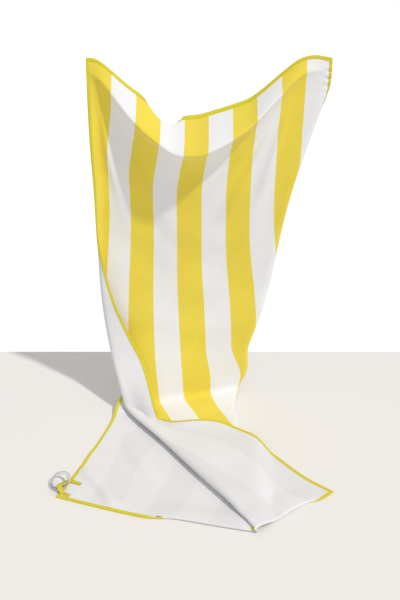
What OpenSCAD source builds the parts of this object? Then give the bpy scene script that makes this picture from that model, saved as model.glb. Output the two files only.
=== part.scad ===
// Striped beach towel with a bound edge, held up by its two top corners so that the rest
// hangs, folds in from both sides and runs out over the floor. A clear ring hangs in an
// elastic strap sewn to one bottom corner.
// The frame's origin is midway between the two held corners, with +Z up and the towel's
// front facing -Y. A place on the flat towel is (u, v): u across from the left edge and
// v down from the top edge.

/* [Towel] */
// Width of the flat towel
towel_w = 900; // [700:10:1000]
// Length of the flat towel
towel_l = 2000; // [1800:10:2200]
// Thickness of the cloth
cloth_t = 3; // [2:0.5:5]

/* [Hang] */
// Height of the held corners above the floor
corner_h = 1244; // [1100:2:1400]
// Distance between the two held corners
corner_span = 736; // [650:2:800]
// How far the middle of the top edge drops below the corners
top_sag = 205; // [100:5:240]
// How far the middle of the front stands forward
front_bulge = 80; // [0:5:120]
// How far the loose fold below the top edge stands forward
cowl_depth = 60; // [0:5:90]

/* [Side folds] */
// Length down the left edge at which its fold begins
left_fold_v = 500; // [400:10:600]
// Length down the right edge at which its fold begins
right_fold_v = 120; // [80:10:300]
// Place across at which both folds would meet
meet_u = 300; // [250:10:400]
// Place along at which both folds would meet
meet_v = 2010; // [2000:10:2200]
// Radius of the left fold near the held corner, where it only curls
curl_r = 70; // [30:5:80]
// Radius of the rolled folds where the towel hangs
hang_roll_r = 18; // [12:1:22]
// Radius of the rolled folds where the towel lies
floor_roll_r = 6; // [5:0.5:9]

/* [Foot] */
// Radius of the bend from the hanging part to the floor
bend_r = 45; // [40:1:60]
// Turn of the lying part about the foot, in degrees
foot_turn = 21; // [0:1:30]
// Further turn that fans the lying part out, in degrees at 400 mm from the middle
foot_fan = 4; // [0:1:8]
// How far the foot stands behind the held corners
foot_back = 70; // [0:5:100]
// How far the foot stands to the right of the middle
foot_shift = 25; // [0:5:60]

/* [Edge binding] */
// Width of each leaf of the binding tape
binding_w = 8; // [6:0.5:12]
// Thickness of the binding tape
binding_t = 0.8; // [0.5:0.1:1.2]
// Thickness of the sewing thread
thread_t = 0.6; // [0.5:0.1:1]

/* [Corner strap] */
// Width of the elastic strap
strap_w = 16; // [14:1:16]
// Thickness of the elastic strap
strap_t = 1.6; // [1:0.1:2]
// Distance from the corner to the middle of the strap's near end
strap_near = 26; // [24:1:30]
// Distance between the middles of the strap's two sewn ends
strap_pitch = 68; // [67:0.5:69]
// Length of each end that is sewn flat to the towel
tab_l = 20; // [16:1:26]
// Distance of the strap's flex line in from the towel's edge
flex_in = 15; // [14:0.5:16]
// Bare gap on each side of the flex line
flex_gap = 1.5; // [1.5:0.25:2]

/* [Ring] */
// Outside diameter of the ring
ring_od = 72; // [71:0.5:73]
// Thickness of the ring's round section
ring_section = 11; // [10:0.5:11]
// Lean of the ring's far side off the floor, in degrees
ring_lean = 24; // [23:0.5:25]
// Lean of the ring's side towards the towel, in degrees
ring_side_lean = 10; // [10:0.5:12]

/* [Hidden] */

yellow = "#DCC63C";
thread_yellow = "#C9AE2A";
white = "#EEEDEA";
clear = [0.86, 0.89, 0.90, 0.6];

// Angles of the two fold lines from the towel's length
left_angle = atan(meet_u / (meet_v - left_fold_v));
right_angle = atan((towel_w - meet_u) / (meet_v - right_fold_v));

// Height above the floor of the cloth's middle where it lies in one layer
lie_z = cloth_t / 2 + binding_t + 0.2;

// Level of the floor in this frame
floor_z = -corner_h;

// Length down the towel at which it is on the floor, and over which it comes down
foot_v = 1240;
foot_fade = 300;

// Columns and rows of the woven panel's mesh, which ends where the binding begins
cell = 36;
columns = [binding_w, for (u = [cell : cell : towel_w - cell / 2]) u, towel_w - binding_w];
rows = [binding_w, for (v = [cell : cell : towel_l - cell / 2]) v, towel_l - binding_w];

// Rows of the bindings that run the towel's whole length
long_rows = [-binding_t, each rows, towel_l + binding_t];

function ease(t) = let (c = min(max(t, 0), 1)) c * c * (3 - 2 * c);
function bump(t) = abs(t) < 1 ? 0.5 + 0.5 * cos(180 * t) : 0;
function mix(a, b, t) = a + (b - a) * t;
function unit(a) = a / norm(a);

// A sheet rolled over at a fold line: d is the distance inside the line. It gives the
// distance kept in the sheet's plane, and the depth that the roll has gone through.
function roll_keep(d, r) =
    let (quarter = PI / 2 * r, a = min(max(d / r * 180 / PI, -90), 90))
    quarter - r * cos(a) + max(d - quarter, 0) + max(-d - quarter, 0);
function roll_depth(d, r) =
    let (a = min(max(d / r * 180 / PI, -90), 90))
    r * (1 - sin(a));

// How far the length v is down on to the floor, from 0 to 1
function landed(v) = ease((v - foot_v + foot_fade) / foot_fade);

// Radius of the folds at the length v, drawn in towards the bottom hem
function roll_r(v, hang_r) =
    mix(hang_r, floor_roll_r, landed(v)) * mix(0.4, 1, ease((towel_l - v) / 250));

// Where the flat point (u, v) goes when both sides are folded in: across, along, and
// depth in front of (-) or behind (+) the middle layer.
function folded(u, v) =
    let (
        left_r = roll_r(v, mix(curl_r, hang_roll_r, ease((v - 150) / 600))),
        right_r = roll_r(v, hang_roll_r),
        d_left = u * cos(left_angle) - (v - left_fold_v) * sin(left_angle),
        d_right = (towel_w - u) * cos(right_angle) - (v - right_fold_v) * sin(right_angle),
        left = roll_keep(d_left, left_r) - d_left,
        right = roll_keep(d_right, right_r) - d_right,
        x = u + left * cos(left_angle) - right * cos(right_angle),
        y = v - left * sin(left_angle) - right * sin(right_angle),
        inside_right = (towel_w - x) * cos(right_angle) - (y - right_fold_v) * sin(right_angle),
        // past the right fold the front layer has nothing under it, so it drops
        stacked = mix(-1, 1, ease(inside_right / 70 + 1)),
        front = roll_depth(d_left, left_r) * mix(1, stacked, ease((v - foot_v) / foot_fade))
    )
    [x, y, roll_depth(d_right, right_r) - front];

// Where the flat point (u, v) is on the hung and laid towel
function place(u, v) =
    let (
        f = folded(u, v),
        w = min(max(f[0] / towel_w, 0), 1),
        middle = 4 * w * (1 - w),
        narrow = mix(corner_span / towel_w, 1, ease((f[1] - 400) / 700)),
        x = (f[0] - towel_w / 2) * narrow + foot_shift * ease((f[1] - 500) / 700),
        drop = top_sag * middle * (1 - ease((f[1] - 250) / 1000)),
        bulge = front_bulge * middle * bump((f[1] - 620) / 550),
        cowl = cowl_depth * middle * bump((f[1] - 120 * middle) / (30 + 130 * middle)),
        h = corner_h - f[1] - drop,
        layer_z = lie_z + 2 * min(roll_r(v, hang_roll_r), floor_roll_r),
        bent = bend_r + layer_z - h,
        a = min(max(bent / bend_r * 180 / PI, 0), 90),
        past = max(bent - bend_r * PI / 2, 0),
        depth = f[2] - bulge - cowl,
        y = depth * cos(a) - bend_r * (1 - cos(a)) - past,
        z = bent > 0 ? layer_z + bend_r * (1 - sin(a)) - depth * sin(a) : h,
        fan = foot_fan * x / 400 * ease((100 - h) / 500),
        turn = (foot_turn + fan) * ease((300 - h) / 350)
    )
    [x * cos(turn) - y * sin(turn),
     x * sin(turn) + y * cos(turn) + foot_back * ease(v / 1300),
     max(z, lie_z) + floor_z];

// The direction in which the towel's front faces at (u, v)
function facing(u, v) =
    let (e = 2)
    unit(cross(place(u, v + e) - place(u, v - e), place(u + e, v) - place(u - e, v)));

// A point at the height n above the cloth's middle, on its front (+) or reverse (-)
function skin(u, v, n) = place(u, v) + facing(u, v) * n;

// A closed shell through a grid of points on each side: row by row, both the same size
module shell(front, reverse) {
    m = len(front);
    n = len(front[0]);
    points = [for (row = front) each row, for (row = reverse) each row];
    back = m * n;
    panels = [for (i = [0 : m - 2], j = [0 : n - 2])
        let (a = i * n + j, b = a + 1, c = a + n + 1, d = a + n)
        each [[a, b, c], [a, c, d], [back + a, back + c, back + b], [back + a, back + d, back + c]]];
    rim = concat([for (j = [0 : n - 1]) j], [for (i = [1 : m - 1]) i * n + n - 1],
                 [for (j = [n - 2 : -1 : 0]) (m - 1) * n + j], [for (i = [m - 2 : -1 : 1]) i * n]);
    walls = [for (k = [0 : len(rim) - 1])
        let (a = rim[k], b = rim[(k + 1) % len(rim)])
        each [[a, back + a, b], [b, back + a, back + b]]];
    polyhedron(points, concat(panels, walls), convexity = 10);
}

// A solid swept through a list of rings with the same number of points each
module sweep(rings) {
    n = len(rings[0]);
    last = (len(rings) - 1) * n;
    sides = [for (i = [0 : len(rings) - 2], j = [0 : n - 1])
        let (a = i * n + j, b = i * n + (j + 1) % n)
        each [[a, b, b + n], [a, b + n, a + n]]];
    caps = [[for (j = [n - 1 : -1 : 0]) j], [for (j = [0 : n - 1]) last + j]];
    polyhedron([for (ring = rings) each ring], concat(sides, caps), convexity = 10);
}

half = cloth_t / 2;
outer = half + binding_t;

// A closed shell over part of the flat towel, reaching n to each side of its middle
module layer(us, vs, n) {
    shell([for (v = vs) [for (u = us) skin(u, v, n)]],
          [for (v = vs) [for (u = us) skin(u, v, -n)]]);
}

module towel_cloth() {
    color(white)
    layer(columns, rows, half);
}

module left_binding() {
    color(yellow)
    layer([-binding_t, binding_w], long_rows, outer);
}
module right_binding() {
    color(yellow)
    layer([towel_w - binding_w, towel_w + binding_t], long_rows, outer);
}
module top_binding() {
    color(yellow)
    layer(columns, [-binding_t, binding_w], outer);
}
module bottom_binding() {
    color(yellow)
    layer(columns, [towel_l - binding_w, towel_l + binding_t], outer);
}

// One line of lockstitch on the reverse leaf of the binding, through flat points
module stitch_line(line, across) {
    color(thread_yellow)
    sweep([for (p = line)
        [for (c = [[-0.5, 0], [0.5, 0], [0.5, 1], [-0.5, 1]])
            skin(p[0] + across[0] * c[0] * thread_t, p[1] + across[1] * c[0] * thread_t,
                 -outer - c[1] * thread_t)]]);
}
seam = binding_w * 0.7;
module binding_stitching() {
    stitch_line([for (v = long_rows) [seam, v]], [1, 0]);
    stitch_line([for (v = long_rows) [towel_w - seam, v]], [1, 0]);
    stitch_line([for (u = columns) [u, seam]], [0, -1]);
    stitch_line([for (u = columns) [u, towel_l - seam]], [0, -1]);
}

// The strap's frame: along the edge from its near end, in over the towel, and up from
// the floor. Its origin is at the towel's edge.
near_end = place(towel_w, towel_l - strap_near);
far_end = place(towel_w, towel_l - strap_near - strap_pitch);
along = unit(far_end - near_end);
inward = [along[1], -along[0], 0];
edge_turn = atan2(along[1], along[0]);
strap_span = norm(far_end - near_end);
function at_edge(p) =
    [near_end[0], near_end[1], floor_z] + along * p[0] + inward * p[1] + [0, 0, p[2]];

// The free strap's middle line. It leaves the near end, climbs over the ring's low side,
// drops through the ring and runs under its raised side to the far end.
tab_z = lie_z + half + strap_t / 2;
flex_start = flex_in - flex_gap;
strap_route = [
    [0, flex_start, tab_z], [0, 10.5, tab_z + 1.8], [0, 8, 8.4], [0.6, 5.4, 13], [2.5, 1, 18.5],
    [6, -4, 22], [11, -7.5, 23], [18, -9, 22.6], [26, -9, 18.5], [34, -9, 14], [42, -9, 11],
    [strap_span - 15, -8, 9.5], [strap_span - 9, -5.5, 8.6], [strap_span - 4, -1.5, 8],
    [strap_span - 1, 4, 7.6], [strap_span, 8, 7.2], [strap_span, 10.5, tab_z + 1.6],
    [strap_span, flex_start, tab_z]
];

// The strap's flat cross-section at a point of its route, across its level direction
function strap_ring(i) =
    let (
        last = len(strap_route) - 1,
        p = strap_route[i],
        d = strap_route[min(i + 1, last)] - strap_route[max(i - 1, 0)],
        flat = norm([d[0], d[1]]),
        side = [-d[1] / flat, d[0] / flat, 0],
        up = unit(cross(d, side)) * strap_t / 2
    )
    [for (c = [[-1, -1], [1, -1], [1, 1], [-1, 1]])
        at_edge(p + side * c[0] * strap_w / 2 + up * c[1])];

module loop_strap() {
    color(yellow)
    sweep([for (i = [0 : len(strap_route) - 1]) strap_ring(i)]);
}

// A sewn end of the strap, lying on the towel's reverse with its corners rounded
module strap_tab(end) {
    corner_r = 2;
    color(yellow)
    translate(at_edge([end, flex_in + flex_gap + tab_l / 2, lie_z + half]))
    rotate([0, 0, edge_turn])
    linear_extrude(strap_t)
    union() {
        square([strap_w - 2 * corner_r, tab_l], center = true);
        square([strap_w, tab_l - 2 * corner_r], center = true);
        for (x = [-1, 1], y = [-1, 1])
            translate([x * (strap_w / 2 - corner_r), y * (tab_l / 2 - corner_r)])
            circle(r = corner_r, $fn = 24);
    }
}
module far_strap_tab() strap_tab(strap_span);
module near_strap_tab() strap_tab(0);

// Bars of close stitching across both sewn ends
tack_w = strap_w - 3;
tack_l = 1.6;
tack_inset = 4;
module strap_bar_tacks() {
    color(thread_yellow)
    for (end = [0, strap_span], y = [tack_inset, tab_l - tack_inset])
        translate(at_edge([end, flex_in + flex_gap + y, lie_z + half + strap_t]))
        rotate([0, 0, edge_turn])
        linear_extrude(thread_t)
        square([tack_w, tack_l], center = true);
}

// The ring leans on the strap: its far side and its side over the towel are raised
ring_r = (ring_od - ring_section) / 2;
ring_axis = unit(along * (-sin(ring_lean) * cos(ring_side_lean)) - inward * sin(ring_side_lean)
                 + [0, 0, cos(ring_lean) * cos(ring_side_lean)]);
ring_z = ring_r * sqrt(1 - pow(ring_axis[2], 2)) + ring_section / 2 + 0.3;
ring_middle = at_edge([34, -22, ring_z]);
module hanging_ring() {
    color(clear)
    translate(ring_middle)
    rotate([0, acos(ring_axis[2]), atan2(ring_axis[1], ring_axis[0])])
    rotate_extrude($fn = 96)
    translate([ring_r, 0])
    circle(d = ring_section, $fn = 48);
}

towel_cloth();
left_binding();
right_binding();
top_binding();
bottom_binding();
binding_stitching();
loop_strap();
far_strap_tab();
near_strap_tab();
strap_bar_tacks();
hanging_ring();
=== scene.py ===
# Striped beach towel, held up by its two top corners and run out over the floor, with a
# clear ring in an elastic strap at one bottom corner. Sizes are in metres, +Z is up and
# the towel's front faces -Y. A place on the flat towel is (u, v): u across from the left
# edge and v down from the top edge. The drape is built from folds, not simulated.

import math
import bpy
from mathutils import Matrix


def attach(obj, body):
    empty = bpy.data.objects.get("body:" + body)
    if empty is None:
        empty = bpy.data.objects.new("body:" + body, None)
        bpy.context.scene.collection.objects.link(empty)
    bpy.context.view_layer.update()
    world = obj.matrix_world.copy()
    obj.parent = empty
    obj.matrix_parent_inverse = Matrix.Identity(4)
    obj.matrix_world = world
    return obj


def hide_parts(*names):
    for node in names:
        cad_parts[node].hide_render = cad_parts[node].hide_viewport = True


bl_info = {
    "name": "Striped Beach Towel",
    "version": (1, 0, 0),
    "blender": (4, 5, 0),
    "location": "View3D > Sidebar > Towel",
    "description": "Makes a hung and draped beach towel with a bound edge and a ring in a strap",
    "category": "Add Mesh",
}

import bmesh
import bpy
import numpy as np
from mathutils import Matrix, Vector

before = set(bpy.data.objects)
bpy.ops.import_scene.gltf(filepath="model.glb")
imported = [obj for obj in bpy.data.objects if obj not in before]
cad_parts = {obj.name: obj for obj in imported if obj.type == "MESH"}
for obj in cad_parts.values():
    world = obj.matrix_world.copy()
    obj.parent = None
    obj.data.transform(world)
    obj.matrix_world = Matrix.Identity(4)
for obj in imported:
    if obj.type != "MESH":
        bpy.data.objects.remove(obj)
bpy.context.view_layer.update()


# ---------------------------------------------------------------- sizes and colours

def length(name, description, default):
    return bpy.props.FloatProperty(name=name, description=description, default=default,
                                   min=0.0, precision=4, unit="LENGTH")


def hex_colour(text):
    """sRGB hex to linear red, green and blue."""
    parts = [int(text[i:i + 2], 16) / 255 for i in (1, 3, 5)]
    return tuple(c / 12.92 if c <= 0.04045 else ((c + 0.055) / 1.055) ** 2.4 for c in parts)


def colour(name, description, text):
    return bpy.props.FloatVectorProperty(name=name, description=description, size=3, min=0,
                                         max=1, subtype="COLOR", default=hex_colour(text))


class TowelSizes(bpy.types.PropertyGroup):
    width: length("Width", "Width of the flat towel", 0.9)
    long: length("Length", "Length of the flat towel", 2.0)
    stripe: length("Stripe", "Width of one woven stripe", 0.09)
    thick: length("Thickness", "Thickness of the cloth", 0.0026)
    cell: length("Cell", "Size of one cell of the cloth's mesh", 0.015)
    span: length("Corner span", "Distance between the two held corners", 0.736)
    height: length("Corner height", "Height of the held corners above the floor", 1.244)
    cowl: length("Cowl", "How far the loose fold below the top edge stands forward", 0.145)
    binding: length("Binding width", "Width of each leaf of the edge binding", 0.008)
    binding_t: length("Binding thickness", "Thickness of the binding over both faces", 0.0058)
    binding_out: length("Binding overhang", "How far the binding stands past the edge", 0.0025)
    stitch: length("Stitch", "Length of one stitch with its gap", 0.005)
    thread: length("Thread", "Thickness of the sewing thread", 0.0007)
    strap_w: length("Strap width", "Width of the elastic strap", 0.016)
    strap_t: length("Strap thickness", "Thickness of the elastic strap", 0.0016)
    ring_od: length("Ring diameter", "Outside diameter of the clear ring", 0.072)
    ring_d: length("Ring section", "Thickness of the ring's round section", 0.011)


class TowelColours(bpy.types.PropertyGroup):
    yellow: colour("Yellow stripe", "Dyed yellow yarn of the stripes", "#EFD94F")
    white: colour("White stripe", "Undyed yarn of the stripes", "#F0F0F0")
    reverse: colour("Reverse", "Duller white of the reverse", "#E8E7E9")
    tape: colour("Binding tape", "Yellow tape round the edge", "#DFD41C")
    thread: colour("Thread", "Sewing thread", "#E6D12E")
    strap: colour("Strap", "Yellow elastic webbing", "#DCD024")
    floor: colour("Floor", "Pale floor", "#EEEBE8")


def sizes():
    return bpy.context.scene.towel_sizes


def colours():
    return bpy.context.scene.towel_colours


# ---------------------------------------------------------------- meshes and materials

def new_piece(name, bm, body, material, nodes=()):
    """A piece from a bmesh, riding on its body and standing for its CAD nodes."""
    mesh = bpy.data.meshes.new(name)
    bm.to_mesh(mesh)
    bm.free()
    for face in mesh.polygons:
        face.use_smooth = True
    piece = bpy.data.objects.new(name, mesh)
    bpy.context.scene.collection.objects.link(piece)
    for m in material if isinstance(material, (list, tuple)) else [material]:
        mesh.materials.append(m)
    if body:
        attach(piece, body)
        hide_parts(*nodes)
    return piece


def modifier(piece, kind, **settings):
    made = piece.modifiers.new(kind.title(), kind)
    for key, value in settings.items():
        setattr(made, key, value)
    return made


def rounded(piece, levels=1):
    return modifier(piece, "SUBSURF", levels=levels, render_levels=levels)


def node(tree, kind, inputs=None, **settings):
    """A shader node with its settings, and its inputs from values or other sockets."""
    made = tree.nodes.new(kind)
    for key, value in settings.items():
        setattr(made, key, value)
    for key, value in (inputs or {}).items():
        if isinstance(value, bpy.types.NodeSocket):
            tree.links.new(value, made.inputs[key])
        else:
            made.inputs[key].default_value = value
    return made


def blank_material(name):
    made = bpy.data.materials.new(name)
    made.use_nodes = True
    tree = made.node_tree
    tree.nodes.clear()
    shader = node(tree, "ShaderNodeBsdfPrincipled")
    output = node(tree, "ShaderNodeOutputMaterial")
    tree.links.new(shader.outputs[0], output.inputs["Surface"])
    return made, tree, shader


def mixed(tree, amount, a, b):
    """A colour between a and b."""
    return node(tree, "ShaderNodeMix", {"Factor": amount, "A": a, "B": b},
                data_type="RGBA").outputs["Result"]


def rgba(c, k=1.0):
    """A shader's colour from c, darkened by k."""
    return (c[0] * k, c[1] * k, c[2] * k, 1.0)


def waves(tree, place, pitch, direction, distortion=1.0, detail=1.0):
    """Bands at about this pitch: a wave texture repeats 20 / tau times per unit of scale."""
    return node(tree, "ShaderNodeTexWave", {"Vector": place, "Scale": 1 / pitch / 6.28 * 2,
                "Distortion": distortion, "Detail": detail}, wave_type="BANDS",
                bands_direction=direction)


# ---------------------------------------------------------------- the shape of the drape

# A pair of numbers passed to rising() is where a change starts and the length it takes, and
# a pair passed to hump() is where it is greatest and how far it reaches to either side.

# Both sides are folded in. The fold lines start on the side edges, at these distances down
# the cloth, and meet at one point just below the bottom edge
LEFT_FOLD_V = 0.50
RIGHT_FOLD_V = 0.12
MEET_U, MEET_V = 0.30, 2.01

# Radii of the folds while hanging, on the floor, at the top of the left side, and of the
# pleat on the floor
HANG_ROLL = 0.018
FLOOR_ROLL = 0.006
TOP_CURL = 0.07
PLEAT_ROLL = 0.011
UNCURLING = (0.15, 0.6)
# How much of its radius each fold keeps at the bottom edge, and the length it shrinks over
RIGHT_KEPT, RIGHT_SHRINK = 0.5, 0.25
LEFT_KEPT, LEFT_SHRINK = 0.4, 0.14
# How far inside the right fold the left flap changes sides
CROSSING = 0.07

# Where the cloth reaches the floor, the bend there, the turn of the lying part and how far
# it fans out (degrees), and how far the foot stands back and to the right
FOOT_V, FOOT_FADE = 1.24, 0.30
BEND_R = 0.02
FOOT_TURN, TURN_FROM, TURN_OVER = 21.0, 0.3, 0.35
FOOT_FAN, FAN_AT, FAN_FROM, FAN_OVER = 4.0, 0.4, 0.1, 0.5
FOOT_BACK, BACK_OVER = 0.07, 1.3
FOOT_SHIFT, SHIFTING = 0.025, (0.5, 0.7)
# How much wider the foot is at its right, across and down
FLARE, FLARE_ACROSS, FLARE_DOWN = 0.036, (0.42, 0.2), (1.17, 0.16)
# How far the lying part's left edge stands out, over the width from this side, and down
BELLY, BELLY_SIDE, BELLY_OVER, BELLY_DOWN = 0.03, 0.24, 0.12, (1.4, 0.32)
# Lowest height of the cloth's middle above the floor
LIE = 0.0025

# The strap's corner is moved in from the ring, over this distance round it
CORNER_IN, CORNER_REACH = (0.0095, -0.0049), 0.3

# The hanging cloth: from the corners' span out to its full width, hollowed to the back, and
# losing the dip of its top edge on the way down
WIDENING = (0.4, 0.7)
BACK_HOLLOW, HOLLOW_DOWN = 0.045, (0.62, 0.55)
LEVELLING = (0.25, 1.0)

# How far the top edge hangs below the held corners, from left to right
HEM_DROP = ((0, 0), (0.04, 0.0), (0.08, 0.025), (0.16, 0.08), (0.26, 0.135), (0.36, 0.18),
            (0.46, 0.175), (0.57, 0.15), (0.67, 0.125), (0.73, 0.09), (0.79, 0.05), (0.87, 0.0),
            (0.93, -0.01), (1, 0))
HEM_SOFT = 8
# How far down the cloth the loose fold's crest is, and how much of its depth it has
CREST_V = ((0, 0.04), (0.1, 0.06), (0.2, 0.08), (0.36, 0.085), (0.46, 0.09), (0.57, 0.08),
           (0.7, 0.06), (0.87, 0.045), (1, 0.04))
CREST_DEPTH = ((0, 0), (0.06, 0.15), (0.14, 0.4), (0.25, 0.7), (0.36, 0.92), (0.5, 1.0),
               (0.62, 0.8), (0.78, 0.35), (0.9, 0.1), (1, 0))
# The fold's depth down the cloth, as a part of four crest distances: out to a tight crest,
# and undercut below it
CREST_SHAPE = ((0, 0.0), (0.25, 1.0), (0.33, 0.5), (0.47, 0.14), (0.62, 0.0), (1, 0))
CREST_SOFT = 7
# How far the hanging cloth is drawn over to the left: the most, its share from left to
# right, where that sets in and lets go, and the share that it evens out to lower down
DRAWN = 0.03
DRAWN_LEFT = ((0, 0), (0.1, 0.9), (0.2, 1.1), (0.4, 1.0), (0.55, 0.6), (0.8, 0.25), (1, 0))
DRAWN_START, DRAWN_END = (0.04, 0.25), (1.1, 0.9)
DRAWN_LOW, LOW_DOWN, LOW_ACROSS = 0.9, (0.7, 0.4), (0, 0.4)

# The left edge where it crosses the foot: it slumps on to the floor, comes back later, and
# its free edge stands up a little
SLUMP_DOWN, SLUMP_MOVE = (1.31, 0.25), (-0.026, -0.11, -0.02)
LAG_DOWN, LAG_MOVE = (1.68, 0.26), (0.022, 0.035)
LIP, LIP_WIDE, LIP_DOWN = 0.022, 0.35, (1.42, 0.2)

# Soft ridges on the floor: from, to, half width, height
RIDGES = (((-0.40, -0.38), (-0.30, -0.54), 0.03, 0.026),
          ((-0.27, -0.20), (-0.17, -0.44), 0.045, 0.009),
          ((-0.05, -0.30), (0.10, -0.62), 0.05, 0.006),
          ((0.16, -0.36), (0.25, -0.60), 0.05, 0.006))
RIDGE_DOWN, RIDGE_CORNER = (1.35, 0.15), (0.09, 0.08)
# Soft folds that run out of a held corner: side, direction in degrees, width, depth
CORNER_FOLDS = ((1, 38, 7, 0.010), (1, 56, 6, 0.012), (1, 72, 6, 0.010), (0, 50, 7, 0.008),
                (0, 70, 7, 0.010))
FOLD_CORNER, FOLD_REACH = 0.88, (0.3, 0.28)
# Gathers down the right edge: depth, pitch, width, and where
GATHER, GATHER_PITCH, GATHER_WIDE, GATHER_DOWN = 0.004, 0.023, 0.03, (0.06, 0.07)
# The cloth's own unevenness, which leaves out the top edge and the strap's corner
UNEVEN, UNEVEN_FROM, UNEVEN_CORNER = 0.0022, 0.1, (0.14, 0.12)

# The stretch of the top edge that is rolled over to the back, and of the bottom edge that
# is tucked under: radius of the roll, length rolled over, and where across
TOP_ROLL_R, TOP_ROLL, TOP_ROLL_AT = 0.005, 0.034, (0.28, 0.11)
TUCK_R, TUCK, TUCK_LEFT, TUCK_RIGHT = 0.004, 0.024, (0.02, 0.09), (0.52, 0.14)
TUCK_LIFT_FROM, TUCK_LIFT_OVER = 0.1, 0.07
# A roll of nothing lies this many radii past the edge, just over a quarter turn
ROLL_CLEAR = 1.6


def ease(t):
    t = np.clip(t, 0, 1)
    return t * t * (3 - 2 * t)


def bump(t):
    return np.where(np.abs(t) < 1, 0.5 + 0.5 * np.cos(np.pi * np.clip(t, -1, 1)), 0)


def rising(t, start, over):
    """From 0 at the start to 1 at the end of the length over."""
    return ease((t - start) / over)


def hump(t, middle, reach):
    """1 in the middle, and 0 from its reach onwards to either side."""
    return bump((t - middle) / reach)


def mix(a, b, t):
    return a + (b - a) * t


def curve(t, knots, soft=13):
    """A smooth curve close to a few knots, for t from 0 to 1."""
    places, values = zip(*knots)
    steps = np.linspace(0, 1, 201)
    window = np.hanning(2 * soft + 1)
    raw = np.pad(np.interp(steps, places, values), soft, "edge")
    return np.interp(t, steps, np.convolve(raw, window / window.sum(), "valid"))


def roll_keep(d, r):
    """Distance kept in the sheet's plane at the distance d inside a rolled fold."""
    quarter = math.pi / 2 * r
    a = np.clip(d / r, -math.pi / 2, math.pi / 2)
    return quarter - r * np.cos(a) + np.maximum(d - quarter, 0) + np.maximum(-d - quarter, 0)


def roll_depth(d, r):
    """Depth gone through by the fold at the distance d inside it."""
    return r * (1 - np.sin(np.clip(d / r, -math.pi / 2, math.pi / 2)))


def ridge(x, y, start, end, half_width, height):
    """Height of a soft ridge along a line on the floor."""
    a, b = np.array(start), np.array(end)
    t = np.clip(((x - a[0]) * (b - a)[0] + (y - a[1]) * (b - a)[1]) / ((b - a) @ (b - a)), 0, 1)
    away = np.hypot(x - mix(a[0], b[0], t), y - mix(a[1], b[1], t))
    return height * bump(away / half_width) * np.sin(math.pi * mix(0.15, 0.85, t))


def small_folds(u, v):
    """Depth of the folds that run out of the held corners, of the gathers down the right
    edge below its corner, and of the cloth's own unevenness."""
    s = sizes()
    gathers = GATHER * np.sin(v / GATHER_PITCH * math.tau) * bump((s.width - u) / GATHER_WIDE)
    uneven = UNEVEN * np.sin(11 * u + 3 * np.sin(7 * v)) * np.sin(13 * v + 2 * np.sin(9 * u))
    flat = rising(np.hypot(s.width - u, s.long - v), *UNEVEN_CORNER)
    total = gathers * hump(v, *GATHER_DOWN) + uneven * ease(v / UNEVEN_FROM) * flat
    for side, direction, wide, deep in CORNER_FOLDS:
        out = np.where(side, s.width * FOLD_CORNER - u, u)
        reach = np.hypot(out, v)
        off = np.degrees(np.arctan2(v, np.maximum(out, 1e-6))) - direction
        total = total + deep * bump(off / wide) * hump(reach, *FOLD_REACH)
    return total


def folded(u, v):
    """Where (u, v) goes when both sides are folded in: across, along, depth, the radius
    of the right fold, and how far out the point is on the left flap, from 0 to 1."""
    s = sizes()
    la = math.atan(MEET_U / (MEET_V - LEFT_FOLD_V))
    ra = math.atan((s.width - MEET_U) / (MEET_V - RIGHT_FOLD_V))
    landed = rising(v, FOOT_V - FOOT_FADE, FOOT_FADE)
    r = mix(HANG_ROLL, FLOOR_ROLL, landed)
    r = r * mix(RIGHT_KEPT, 1, ease((s.long - v) / RIGHT_SHRINK))
    left_r = mix(mix(TOP_CURL, HANG_ROLL, rising(v, *UNCURLING)), PLEAT_ROLL, landed)
    left_r = left_r * mix(LEFT_KEPT, 1, ease((s.long - v) / LEFT_SHRINK))
    d_left = u * math.cos(la) - (v - LEFT_FOLD_V) * math.sin(la)
    d_right = (s.width - u) * math.cos(ra) - (v - RIGHT_FOLD_V) * math.sin(ra)
    left = roll_keep(d_left, left_r) - d_left
    right = roll_keep(d_right, r) - d_right
    x = u + left * math.cos(la) - right * math.cos(ra)
    y = v - left * math.sin(la) - right * math.sin(ra)
    inside = (s.width - x) * math.cos(ra) - (y - RIGHT_FOLD_V) * math.sin(ra)
    stacked = mix(-1, 1, rising(inside, -CROSSING, CROSSING))
    front = roll_depth(d_left, left_r) * mix(1, stacked, rising(v, FOOT_V, FOOT_FADE))
    edge = np.maximum((v - LEFT_FOLD_V) * math.sin(la), 0.001)
    flap = -d_left / edge
    return x, y, roll_depth(d_right, r) - front, r, flap


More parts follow.
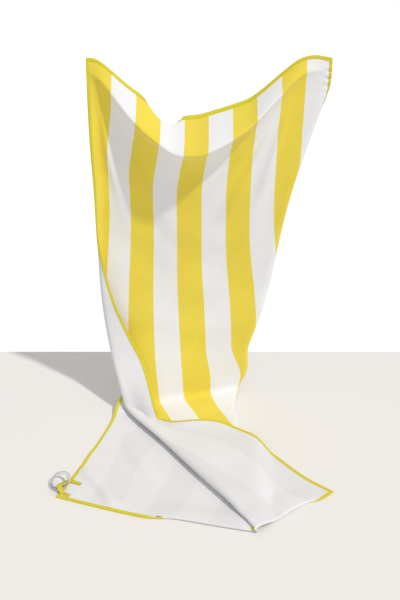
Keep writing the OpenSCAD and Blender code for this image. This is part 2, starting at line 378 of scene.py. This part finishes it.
def drape(u, v):
    """Where (u, v) is on the hung and laid towel."""
    s = sizes()
    # the rolled top edge, and the tucked bottom edge
    line = TOP_ROLL * hump(u, *TOP_ROLL_AT) - TOP_ROLL_R * ROLL_CLEAR
    back = roll_depth(v - line, TOP_ROLL_R)
    tucked = rising(u, *TUCK_LEFT) * (1 - rising(u, *TUCK_RIGHT))
    end = s.long + TUCK_R * ROLL_CLEAR - TUCK * tucked
    under = roll_depth(end - v, TUCK_R)
    lifted = 2 * TUCK_R * tucked * rising(v, end - TUCK_LIFT_FROM, TUCK_LIFT_OVER)
    v = end - roll_keep(end - v, TUCK_R)
    v = np.where(v < s.long / 2, line + roll_keep(v - line, TOP_ROLL_R), v)

    # across, from the left to the right
    x0, y0, depth, r, flap = folded(u, v)
    w = np.clip(x0 / s.width, 0, 1)
    middle = 4 * w * (1 - w)
    narrow = mix(s.span / s.width, 1, rising(y0, *WIDENING))
    x = (x0 - s.width / 2) * narrow + FOOT_SHIFT * rising(y0, *SHIFTING)
    drawn = mix(curve(w, DRAWN_LEFT), DRAWN_LOW, rising(y0, *LOW_DOWN) * rising(w, *LOW_ACROSS))
    x = x - DRAWN * drawn * rising(y0, *DRAWN_START) * (1 - rising(y0, *DRAWN_END))
    x = x + FLARE * rising(w, *FLARE_ACROSS) * hump(y0, *FLARE_DOWN)
    x = x - BELLY * ease((BELLY_SIDE - w) / BELLY_OVER) * hump(y0, *BELLY_DOWN)

    # down the hanging part, round the bend and along the floor
    drop = curve(w, HEM_DROP, HEM_SOFT) * (1 - rising(y0, *LEVELLING))
    hollow = BACK_HOLLOW * middle * hump(y0, *HOLLOW_DOWN)
    crest = 4 * curve(w, CREST_V)
    cowl = s.cowl * curve(w, CREST_DEPTH) * curve(y0 / crest, CREST_SHAPE, CREST_SOFT)
    depth = depth + back + hollow - cowl - small_folds(u, v)
    h = s.height - y0 - drop
    layer = LIE + 2 * np.minimum(r, FLOOR_ROLL)
    bent = BEND_R + layer - h
    a = np.clip(bent / BEND_R, 0, math.pi / 2)
    past = np.maximum(bent - BEND_R * math.pi / 2, 0)
    y = depth * np.cos(a) - BEND_R * (1 - np.cos(a)) - past
    z = np.where(bent > 0, layer + BEND_R * (1 - np.sin(a)) - depth * np.sin(a), h)
    turn = np.radians(FOOT_TURN + FOOT_FAN * x / FAN_AT * ease((FAN_FROM - h) / FAN_OVER))
    turn = turn * ease((TURN_FROM - h) / TURN_OVER)

    # the left edge's slump, the strap's corner and the ridges
    slump, lag = ease(flap) * hump(v, *SLUMP_DOWN), ease(flap) * hump(v, *LAG_DOWN)
    lip = LIP * bump((1 - flap) / LIP_WIDE) * hump(v, *LIP_DOWN)
    x, y = (x * np.cos(turn) - y * np.sin(turn) + SLUMP_MOVE[0] * slump + LAG_MOVE[0] * lag,
            x * np.sin(turn) + y * np.cos(turn) + FOOT_BACK * ease(v / BACK_OVER)
            + SLUMP_MOVE[1] * slump + LAG_MOVE[1] * lag)
    corner = np.hypot(s.width - u, s.long - v)
    near = ease(2 * (1 - corner / CORNER_REACH))
    x, y = x + CORNER_IN[0] * near, y + CORNER_IN[1] * near
    rise = sum(ridge(x, y, *r) for r in RIDGES) * rising(v, *RIDGE_DOWN)
    rise = rise * rising(corner, *RIDGE_CORNER)
    z = np.maximum(z + SLUMP_MOVE[2] * slump, LIE) + lifted - under
    z = np.maximum(z, LIE) + lip + rise
    return np.stack([x, y, z - s.height], -1)


def grid_lines(total, margin, cell, fine=0.0):
    """Places of the mesh's lines across one side, with a narrow cell at each end, and
    with close lines over the length fine at each end."""
    start, stop = margin + fine, total - margin - fine
    inside = np.linspace(start, stop, round((stop - start) / cell) + 1)
    close = np.linspace(0, fine, round(fine / cell * 3) + 1)[:-1]
    return np.concatenate([[0], margin + close, inside, total - margin - close[::-1], [total]])


class Sheet:
    """The cloth's grid of points, kept for the pieces that follow it."""
    us = vs = points = normals = None

    @classmethod
    def at(cls, u, v, n=0.0):
        """The point at (u, v), n in front of the cloth's middle."""
        u, v = np.asarray(u, float), np.asarray(v, float)
        i = np.clip(np.searchsorted(cls.us, u) - 1, 0, len(cls.us) - 2)
        j = np.clip(np.searchsorted(cls.vs, v) - 1, 0, len(cls.vs) - 2)
        a = ((u - cls.us[i]) / (cls.us[i + 1] - cls.us[i]))[..., None]
        b = ((v - cls.vs[j]) / (cls.vs[j + 1] - cls.vs[j]))[..., None]

        def blend(g):
            return ((g[j, i] * (1 - a) + g[j, i + 1] * a) * (1 - b)
                    + (g[j + 1, i] * (1 - a) + g[j + 1, i + 1] * a) * b)
        normal = blend(cls.normals)
        return blend(cls.points) + normal / np.linalg.norm(normal, axis=-1, keepdims=True) * n

    @classmethod
    def find_normals(cls):
        across = np.gradient(cls.points, axis=1)
        along = np.gradient(cls.points, axis=0)
        n = np.cross(along, across)
        cls.normals = n / np.linalg.norm(n, axis=-1, keepdims=True)


# ---------------------------------------------------------------- materials

# The weave's own 1 mm threads would be too fine to see, so it is drawn at this pitch
WEAVE_PITCH = 0.003
# How far the weave carries a stripe's colour over its edge
STRIPE_FRAY = 0.0012


def woven_cloth(name, reverse):
    """Split microfibre, woven from dyed and undyed yarn and sueded: it scatters light
    softly, has a velvet sheen at the edges, and shows no gloss."""
    c, s = colours(), sizes()
    made, tree, shader = blank_material(name)
    uv = node(tree, "ShaderNodeUVMap", uv_map="cut").outputs["UV"]
    place = node(tree, "ShaderNodeSeparateXYZ", {"Vector": uv})
    weft = waves(tree, uv, WEAVE_PITCH, "Y")
    warp = waves(tree, uv, WEAVE_PITCH, "X")
    nap = node(tree, "ShaderNodeTexNoise", {"Vector": uv, "Scale": 60.0, "Detail": 4.0})
    slub = node(tree, "ShaderNodeTexNoise", {"Vector": uv, "Scale": 7.0, "Detail": 3.0})
    fray = node(tree, "ShaderNodeMath", {0: weft.outputs["Fac"], 1: STRIPE_FRAY},
                operation="MULTIPLY")
    across = node(tree, "ShaderNodeMath", {0: place.outputs["X"], 1: fray.outputs[0]},
                  operation="ADD")
    turn = node(tree, "ShaderNodeMath", {0: across.outputs[0], 1: 2 * s.stripe},
                operation="DIVIDE")
    turn = node(tree, "ShaderNodeMath", {0: turn.outputs[0]}, operation="FRACT")
    stripe = node(tree, "ShaderNodeMath", {0: turn.outputs[0], 1: 0.5}, operation="LESS_THAN")
    worn = node(tree, "ShaderNodeMapRange", {"Value": slub.outputs["Fac"], "From Min": 0.35,
                "From Max": 0.65, "To Min": 0.0, "To Max": 1.0})
    if reverse:
        ground = mixed(tree, worn.outputs[0], rgba(c.reverse, 0.98), rgba(c.reverse))
        ghost = mixed(tree, worn.outputs[0], rgba(c.reverse, 0.94), rgba(c.reverse, 0.955))
        shade = mixed(tree, stripe.outputs[0], ground, ghost)
    else:
        dyed = mixed(tree, worn.outputs[0], rgba(c.yellow, 0.95), rgba(c.yellow))
        plain = mixed(tree, worn.outputs[0], rgba(c.white, 0.96), rgba(c.white))
        shade = mixed(tree, stripe.outputs[0], plain, dyed)
    tree.links.new(shade, shader.inputs["Base Color"])
    shader.inputs["Roughness"].default_value = 0.9
    shader.inputs["Specular IOR Level"].default_value = 0.25
    shader.inputs["Sheen Weight"].default_value = 0.25
    shader.inputs["Sheen Roughness"].default_value = 0.4
    height = node(tree, "ShaderNodeMath", {0: weft.outputs["Fac"], 1: warp.outputs["Fac"]},
                  operation="MULTIPLY")
    weave = node(tree, "ShaderNodeBump", {"Height": height.outputs[0], "Strength": 0.12,
                 "Distance": 0.0006})
    pile = node(tree, "ShaderNodeBump", {"Height": nap.outputs["Fac"], "Strength": 0.25,
                "Distance": 0.003, "Normal": weave.outputs[0]})
    tree.links.new(pile.outputs[0], shader.inputs["Normal"])
    return made


def ribbed_tape(name, tint, pitch, strength, direction="Y"):
    """Woven polyester: harder and a little shinier than the cloth, with ribs across and painted
    shade in their grooves.
    """
    made, tree, shader = blank_material(name)
    uv = node(tree, "ShaderNodeUVMap", uv_map="cut").outputs["UV"]
    ribs = waves(tree, uv, pitch, direction, distortion=2.0, detail=2.0)
    dirt = node(tree, "ShaderNodeTexNoise", {"Vector": uv, "Scale": 90.0, "Detail": 3.0})
    # painted shade: the grooves between the ribs are coloured down to 0.8 of the tint, darkest
    # where the bump sets them lowest
    shade = mixed(tree, ribs.outputs["Fac"], rgba(tint, 0.8), rgba(tint))
    shade = mixed(tree, dirt.outputs["Fac"], shade, rgba(tint, 0.93))
    tree.links.new(shade, shader.inputs["Base Color"])
    shader.inputs["Roughness"].default_value = 0.6
    shader.inputs["Sheen Weight"].default_value = 0.15
    bumped = node(tree, "ShaderNodeBump", {"Height": ribs.outputs["Fac"], "Strength": strength,
                  "Distance": 0.0008})
    tree.links.new(bumped.outputs[0], shader.inputs["Normal"])
    return made


def sewing_thread():
    """Twisted polyester thread with a soft shine."""
    made, tree, shader = blank_material("sewing_thread")
    place = node(tree, "ShaderNodeTexCoord").outputs["Object"]
    twist = node(tree, "ShaderNodeTexNoise", {"Vector": place, "Scale": 900.0})
    shade = mixed(tree, twist.outputs["Fac"], rgba(colours().thread, 0.85), rgba(colours().thread))
    tree.links.new(shade, shader.inputs["Base Color"])
    shader.inputs["Roughness"].default_value = 0.5
    return made


def clear_acrylic():
    """Cast acrylic, polished all over: clear, with a faint haze of handling marks."""
    made, tree, shader = blank_material("clear_acrylic")
    place = node(tree, "ShaderNodeTexCoord").outputs["Object"]
    marks = node(tree, "ShaderNodeTexNoise", {"Vector": place, "Scale": 250.0, "Detail": 3.0})
    haze = node(tree, "ShaderNodeMapRange", {"Value": marks.outputs["Fac"], "From Min": 0.4,
                "From Max": 0.7, "To Min": 0.02, "To Max": 0.07})
    tree.links.new(haze.outputs[0], shader.inputs["Roughness"])
    shader.inputs["Base Color"].default_value = (0.84, 0.85, 0.89, 1)
    shader.inputs["Transmission Weight"].default_value = 1.0
    shader.inputs["IOR"].default_value = 1.49
    return made


def matt_floor():
    """Painted studio board: pale and matt, faintly mottled by the roller."""
    made, tree, shader = blank_material("matt_floor_paint")
    place = node(tree, "ShaderNodeTexCoord").outputs["Object"]
    mottle = node(tree, "ShaderNodeTexNoise", {"Vector": place, "Scale": 6.0, "Detail": 4.0})
    shade = mixed(tree, mottle.outputs["Fac"], rgba(colours().floor, 0.99), rgba(colours().floor))
    tree.links.new(shade, shader.inputs["Base Color"])
    shader.inputs["Roughness"].default_value = 0.85
    return made


# ---------------------------------------------------------------- stage

CAMERA_AT = (-0.0275, -3.0, 0.716)
CAMERA_TILT = 63
CAMERA_LENS, CAMERA_SENSOR = 60, 36
# Half the floor's side, and its middle: it ends well behind the towel
FLOOR_HALF, FLOOR_MIDDLE_Y = 3.0, -2.6
SUN_FROM, SUN_POWER, SUN_ANGLE = (0.45, -0.46, 0.77), 1.75, 3
SUN_COLOUR = (1.0, 0.99, 0.975)
# Strength of the white surroundings as a light, and as the camera sees them
SKY_LIGHT, SKY_SEEN = 0.58, 1.05


class TOWEL_OT_stage(bpy.types.Operator):
    """Make the camera, the pale floor and the soft studio light"""
    bl_idname = "towel.stage"
    bl_label = "Stage"

    def execute(self, context):
        scene = context.scene
        data = bpy.data.cameras.new("camera")
        data.lens, data.sensor_width = CAMERA_LENS, CAMERA_SENSOR
        camera = bpy.data.objects.new("camera", data)
        camera.location = CAMERA_AT
        camera.rotation_euler = (math.radians(CAMERA_TILT), 0, 0)
        scene.collection.objects.link(camera)
        scene.camera = camera

        bm = bmesh.new()
        bmesh.ops.create_grid(bm, x_segments=2, y_segments=2, size=FLOOR_HALF)
        bmesh.ops.translate(bm, verts=bm.verts, vec=(0, FLOOR_MIDDLE_Y, -sizes().height))
        floor = new_piece("floor", bm, None, matt_floor())

        key = bpy.data.lights.new("key", "SUN")
        key.energy, key.angle = SUN_POWER, math.radians(SUN_ANGLE)
        key.color = SUN_COLOUR
        lamp = bpy.data.objects.new("key", key)
        lamp.rotation_euler = Vector(SUN_FROM).to_track_quat("Z", "Y").to_euler()
        scene.collection.objects.link(lamp)

        world = bpy.data.worlds.new("white_studio")
        scene.world = world
        world.use_nodes = True
        tree = world.node_tree
        tree.nodes.clear()
        seen = node(tree, "ShaderNodeLightPath").outputs["Is Camera Ray"]
        power = node(tree, "ShaderNodeMapRange", {"Value": seen, "To Min": SKY_LIGHT,
                     "To Max": SKY_SEEN})
        sky = node(tree, "ShaderNodeBackground", {"Color": (1, 1, 1, 1),
                   "Strength": power.outputs[0]})
        output = node(tree, "ShaderNodeOutputWorld")
        tree.links.new(sky.outputs[0], output.inputs["Surface"])
        scene.view_settings.view_transform = "Standard"
        return {"FINISHED"}


# ---------------------------------------------------------------- towel

# The cloth's rows are three times as close over this distance from its top and bottom
FINE_ROWS = 0.12


class TOWEL_OT_cloth(bpy.types.Operator):
    """Make the striped cloth as one sheet, hung by its corners and laid on the floor"""
    bl_idname = "towel.cloth"
    bl_label = "Cloth"

    def execute(self, context):
        s = sizes()
        Sheet.us = grid_lines(s.width, s.binding, s.cell)
        Sheet.vs = grid_lines(s.long, s.binding, s.cell, FINE_ROWS)
        columns, rows = len(Sheet.us) - 1, len(Sheet.vs) - 1
        bm = bmesh.new()
        bmesh.ops.create_grid(bm, x_segments=columns, y_segments=rows, size=0.5)
        flat = np.array([v.co for v in bm.verts])
        i = np.rint((flat[:, 0] + 0.5) * columns).astype(int)
        j = np.rint((0.5 - flat[:, 1]) * rows).astype(int)
        cut = bm.loops.layers.uv.new("cut")
        u, v = Sheet.us[i], Sheet.vs[j]
        for face in bm.faces:
            for loop in face.loops:
                k = loop.vert.index
                loop[cut].uv = (u[k], v[k])
        placed = drape(u, v)
        for vert, p in zip(bm.verts, placed):
            vert.co = p
        Sheet.points = np.empty((rows + 1, columns + 1, 3))
        Sheet.points[j, i] = placed
        Sheet.find_normals()
        bm.normal_update()
        for face in bm.faces:
            k = face.verts[0].index
            if face.normal.dot(Vector(Sheet.normals[j[k], i[k]])) < 0:
                face.normal_flip()
        towel = new_piece("striped_towel", bm, "towel",
                          [woven_cloth("woven_microfibre_front", False),
                           woven_cloth("woven_microfibre_reverse", True)],
                          ["towel_cloth"])
        rounded(towel)
        modifier(towel, "SOLIDIFY", thickness=s.thick, offset=0.0, material_offset=1,
                 material_offset_rim=1, use_even_offset=False)
        return {"FINISHED"}


TAPE_PITCH, TAPE_RIBS = 0.006, 0.5
TAPE_ROUNDING = 0.0013
# Where the seam runs, as a part of the binding's width
SEAM = 0.7


class TOWEL_OT_binding(bpy.types.Operator):
    """Make the tape that is folded over the towel's edge all round, and its stitching"""
    bl_idname = "towel.binding"
    bl_label = "Binding and stitching"

    def execute(self, context):
        s = sizes()
        source = bpy.data.objects["striped_towel"].data
        bm = bmesh.new()
        bm.from_mesh(source)
        cut = bm.loops.layers.uv["cut"]
        inner = []
        for face in bm.faces:
            us = [loop[cut].uv[0] for loop in face.loops]
            vs = [loop[cut].uv[1] for loop in face.loops]
            mid_u, mid_v = sum(us) / len(us), sum(vs) / len(vs)
            if (s.binding < mid_u < s.width - s.binding
                    and s.binding < mid_v < s.long - s.binding):
                inner.append(face)
        bmesh.ops.delete(bm, geom=inner, context="FACES")
        # the tape stands out past the cloth's own edge
        on_edge = 1e-5
        moves = {}
        for face in bm.faces:
            for loop in face.loops:
                u, v = loop[cut].uv
                if min(u, v, s.width - u, s.long - v) > on_edge:
                    continue
                inside = Sheet.at(np.clip(u, s.binding, s.width - s.binding),
                                  np.clip(v, s.binding, s.long - s.binding))
                outward = (loop.vert.co - Vector(inside)).normalized()
                moves[loop.vert] = outward * s.binding_out
        for vert, move in moves.items():
            vert.co += move
        tape = new_piece("edge_binding", bm, "towel",
                         ribbed_tape("woven_binding_tape", colours().tape, TAPE_PITCH,
                                     TAPE_RIBS),
                         ["left_binding", "right_binding", "top_binding",
                                     "bottom_binding"])
        modifier(tape, "SOLIDIFY", thickness=s.binding_t, offset=0.0, use_even_offset=False)
        modifier(tape, "BEVEL", width=TAPE_ROUNDING, segments=2, limit_method="ANGLE",
                 angle_limit=math.radians(50), profile=0.5)
        rounded(tape)

        bm = bmesh.new()
        seam = s.binding * SEAM
        for side in (-1, 1):
            for edge in (seam, s.width - seam):
                sew(bm, side, s.long, lambda t: (edge + 0 * t, t))
            for edge in (seam, s.long - seam):
                sew(bm, side, s.width, lambda t: (t, edge + 0 * t))
        new_piece("binding_stitches", bm, "towel", sewing_thread(),
                  ["binding_stitching"])
        return {"FINISHED"}


# Sides of the thread, steps in a stitch, the thread's depth in the tape, and its thickness
# where it dives in
THREAD_SIDES, STITCH_STEPS, THREAD_SUNK, THREAD_PINCH = 5, 4, 0.1, 0.15


def sew(bm, side, total, route):
    """One line of lockstitch on the front (1) or the reverse (-1): a thread that swells at
    each stitch and dives into the tape between two."""
    s = sizes()
    count = round((total - 2 * s.stitch) / s.stitch) * STITCH_STEPS
    t = np.linspace(s.stitch, total - s.stitch, count + 1)
    u, v = route(t)
    middle = Sheet.at(u, v, side * (s.binding_t / 2 - s.thread * THREAD_SUNK))
    out = middle - Sheet.at(u, v)
    out /= np.linalg.norm(out, axis=-1, keepdims=True)
    run = np.gradient(middle, axis=0)
    level = np.cross(run, out)
    level /= np.linalg.norm(level, axis=-1, keepdims=True)
    dives = np.arange(count + 1) % STITCH_STEPS == 0
    swell = s.thread / 2 * np.where(dives, THREAD_PINCH, 1.0)[:, None]
    made = bmesh.ops.create_grid(bm, x_segments=THREAD_SIDES, y_segments=count,
                                 size=0.5)["verts"]
    for vert in made:
        k = round((vert.co.y + 0.5) * count)
        angle = (vert.co.x + 0.5) * math.tau
        vert.co = middle[k] + swell[k] * (level[k] * math.cos(angle) + out[k] * math.sin(angle))
    bmesh.ops.remove_doubles(bm, verts=made, dist=1e-6)


# ---------------------------------------------------------------- strap and ring

# The strap's frame, as the CAD has it: its near end at the towel's edge, the direction
# along the edge, the direction in over the towel, and the distance between its two ends.
# A point in that frame is (along, inward, up)
EDGE = Vector((-0.465491, -0.487472, -1.244))
ALONG = Vector((0.461059, 0.88737, 0))
INWARD = Vector((0.88737, -0.461059, 0))
STRAP_SPAN = 0.06413
# Height of the sewn ends' middle, and how far in they begin and end
TAB_UP, TAB_FROM, TAB_TO, TAB_ROWS = 0.0048, 0.0158, 0.0365, 20
# Bars of stitches across a sewn end: how far in, how many stitches, their spacing and slant,
# and half the size of one
TACK_BARS, TACK_COUNT, TACK_PITCH, TACK_SLANT = (0.0205, 0.0325), 9, 0.0014, 0.35
TACK_SIZE = (0.001, 0.00045, 0.0005)
ROUTE_STEPS = 5
STRAP_ROUTE = (
    (0, 0.0149, 0.0048), (0, 0.0128, 0.0051), (0, 0.0105, 0.0066), (0, 0.008, 0.0084),
    (0.0006, 0.0054, 0.013),
    (0.0025, 0.001, 0.0185), (0.006, -0.004, 0.022), (0.011, -0.0075, 0.023),
    (0.018, -0.009, 0.0226), (0.026, -0.009, 0.0185), (0.034, -0.009, 0.014),
    (0.042, -0.009, 0.011), (0.04913, -0.008, 0.0095), (0.05513, -0.0055, 0.0086),
    (0.06013, -0.0015, 0.008), (0.06313, 0.004, 0.0076), (0.06413, 0.008, 0.0072),
    (0.06413, 0.0105, 0.0064), (0.06413, 0.0128, 0.0051), (0.06413, 0.0149, 0.0048))


def at_edge(p):
    return EDGE + ALONG * p[0] + INWARD * p[1] + Vector((0, 0, p[2]))


def smooth_route(points, steps):
    """A curve through the points, with some steps between each two."""
    pts = [np.array(p, float) for p in points]
    pts = [2 * pts[0] - pts[1], *pts, 2 * pts[-1] - pts[-2]]
    out = []
    for k in range(1, len(pts) - 2):
        a, b, c, d = pts[k - 1:k + 3]
        for t in np.arange(steps) / steps:
            out.append(0.5 * (2 * b + (c - a) * t + (2 * a - 5 * b + 4 * c - d) * t ** 2
                              + (3 * b - a - 3 * c + d) * t ** 3))
    return out + [pts[-2]]


# The elastic's lengthwise cords, and its small waves: their pitch, how much they widen it,
# and how much of their height is left away from the edges
CORDS, CORD_HEIGHT = 6, 0.00022
WAVE_PITCH, WAVE_WIDTH, WAVE_INSIDE = 0.0032, 0.02, 0.25
# How much narrower its mesh is than the strap, its cells across, and its solid thickness
# as a part of the strap's, which the cords and waves fill out
WEBBING_INSET, WEBBING_CELLS, WEBBING_SOLID = 0.001, 20, 0.75
# Height of the waves in the free strap and in its sewn ends
STRAP_PUCKER, END_PUCKER = 0.0004, 0.0002
ELASTIC_PITCH, ELASTIC_RIBS = 0.0025, 0.6


def webbing(name, route, body, nodes, pucker):
    """Ribbed elastic along a route in the strap's frame: cords run its length, and the
    rubber in it gathers its edges into small waves."""
    s = sizes()
    along = len(route) - 1
    bm = bmesh.new()
    bmesh.ops.create_grid(bm, x_segments=WEBBING_CELLS, y_segments=along, size=0.5)
    cut = bm.loops.layers.uv.new("cut")
    travelled = np.concatenate([[0], np.cumsum([np.linalg.norm(b - a)
                                                for a, b in zip(route, route[1:])])])
    spots = {}
    for vert in bm.verts:
        t = vert.co.x
        k = round((vert.co.y + 0.5) * along)
        run = Vector(route[min(k + 1, along)] - route[max(k - 1, 0)])
        level = Vector((-run.y, run.x, 0)).normalized()
        up = run.cross(level).normalized()
        wave = math.sin(travelled[k] / WAVE_PITCH * math.tau)
        cords = CORD_HEIGHT * math.cos(t * CORDS * math.tau)
        ruffle = pucker * wave * mix(WAVE_INSIDE, 1, abs(2 * t) ** 3)
        reach = t * (s.strap_w - WEBBING_INSET) * (1 + WAVE_WIDTH * wave)
        spots[vert.index] = (t * s.strap_w, travelled[k])
        vert.co = at_edge(Vector(route[k]) + level * reach + up * (cords + ruffle))
    for face in bm.faces:
        for loop in face.loops:
            loop[cut].uv = spots[loop.vert.index]
    bmesh.ops.recalc_face_normals(bm, faces=bm.faces)
    elastic = bpy.data.materials.get("ribbed_elastic") or ribbed_tape(
        "ribbed_elastic", colours().strap, ELASTIC_PITCH, ELASTIC_RIBS, "X")
    piece = new_piece(name, bm, body, elastic, nodes)
    modifier(piece, "SOLIDIFY", thickness=s.strap_t * WEBBING_SOLID, offset=0.0)
    rounded(piece)


def one_stitch(bm, middle, run, up, size):
    """A stitch: a short fat oval of thread, pulled down at both ends."""
    run = run.normalized()
    up = (up - run * up.dot(run)).normalized()
    turn = Matrix((run, up.cross(run), up)).transposed().to_4x4()
    place = Matrix.Translation(middle) @ turn @ Matrix.Diagonal((*size, 1))
    bmesh.ops.create_uvsphere(bm, u_segments=8, v_segments=6, radius=1.0, matrix=place)


class TOWEL_OT_strap(bpy.types.Operator):
    """Make the elastic strap, its two sewn ends and their bar tacks"""
    bl_idname = "towel.strap"
    bl_label = "Strap"

    def execute(self, context):
        s = sizes()
        webbing("elastic_strap", smooth_route(STRAP_ROUTE, ROUTE_STEPS), "strap",
                ["loop_strap"], STRAP_PUCKER)
        bm = bmesh.new()
        for end, name in ((0, "near"), (STRAP_SPAN, "far")):
            tab = [np.array((end, y, TAB_UP)) for y in np.linspace(TAB_FROM, TAB_TO, TAB_ROWS)]
            webbing(f"{name}_strap_end", tab, "towel", [f"{name}_strap_tab"], END_PUCKER)
            for y in TACK_BARS:
                for k in range(TACK_COUNT):
                    place = end + (k - TACK_COUNT // 2) * TACK_PITCH
                    middle = at_edge((place, y, TAB_UP + s.strap_t / 2))
                    run = INWARD + ALONG * (TACK_SLANT if k % 2 else -TACK_SLANT)
                    one_stitch(bm, middle, run, Vector((0, 0, 1)), TACK_SIZE)
        new_piece("bar_tacks", bm, "towel", bpy.data.materials["sewing_thread"],
                  ["strap_bar_tacks"])
        return {"FINISHED"}


# The ring's axis and middle, as the CAD has them
RING_AXIS = Vector((-0.338771, -0.27538, 0.899667))
RING_MIDDLE = Vector((-0.469337, -0.447158, -1.22488))


class TOWEL_OT_ring(bpy.types.Operator):
    """Make the clear ring that hangs in the strap"""
    bl_idname = "towel.ring"
    bl_label = "Ring"

    def execute(self, context):
        s = sizes()
        bm = bmesh.new()
        circle = bmesh.ops.create_circle(bm, segments=24, radius=s.ring_d / 2)["verts"]
        bmesh.ops.rotate(bm, verts=circle, cent=(0, 0, 0),
                         matrix=Matrix.Rotation(math.pi / 2, 3, "X"))
        bmesh.ops.translate(bm, verts=circle, vec=((s.ring_od - s.ring_d) / 2, 0, 0))
        bmesh.ops.spin(bm, geom=bm.verts[:] + bm.edges[:], cent=(0, 0, 0), axis=(0, 0, 1),
                       angle=math.tau, steps=96, use_merge=True)
        bmesh.ops.remove_doubles(bm, verts=bm.verts, dist=1e-6)
        turn = RING_AXIS.to_track_quat("Z", "Y").to_matrix().to_4x4()
        bmesh.ops.transform(bm, verts=bm.verts, matrix=Matrix.Translation(RING_MIDDLE) @ turn)
        bmesh.ops.recalc_face_normals(bm, faces=bm.faces)
        new_piece("clear_ring", bm, "ring", clear_acrylic(), ["hanging_ring"])
        return {"FINISHED"}


# ---------------------------------------------------------------- add-on

class TOWEL_PT_panel(bpy.types.Panel):
    """Lists the towel's pieces, sizes and colours"""
    bl_idname = "TOWEL_PT_panel"
    bl_label = "Beach Towel"
    bl_space_type = "VIEW_3D"
    bl_region_type = "UI"
    bl_category = "Towel"

    def draw(self, context):
        for operator in OPERATORS:
            self.layout.operator(operator.bl_idname)
        for group in (sizes(), colours()):
            box = self.layout.box()
            for key in type(group).__annotations__:
                box.prop(group, key)


OPERATORS = (TOWEL_OT_stage, TOWEL_OT_cloth, TOWEL_OT_binding, TOWEL_OT_strap, TOWEL_OT_ring)
CLASSES = (TowelSizes, TowelColours, *OPERATORS, TOWEL_PT_panel)


def register():
    for cls in CLASSES:
        bpy.utils.register_class(cls)
    bpy.types.Scene.towel_sizes = bpy.props.PointerProperty(type=TowelSizes)
    bpy.types.Scene.towel_colours = bpy.props.PointerProperty(type=TowelColours)


def unregister():
    del bpy.types.Scene.towel_colours
    del bpy.types.Scene.towel_sizes
    for cls in reversed(CLASSES):
        bpy.utils.unregister_class(cls)


def main():
    register()
    bpy.ops.towel.stage()
    bpy.ops.towel.cloth()
    bpy.ops.towel.binding()
    bpy.ops.towel.strap()
    bpy.ops.towel.ring()


if __name__ == "__main__":
    main()
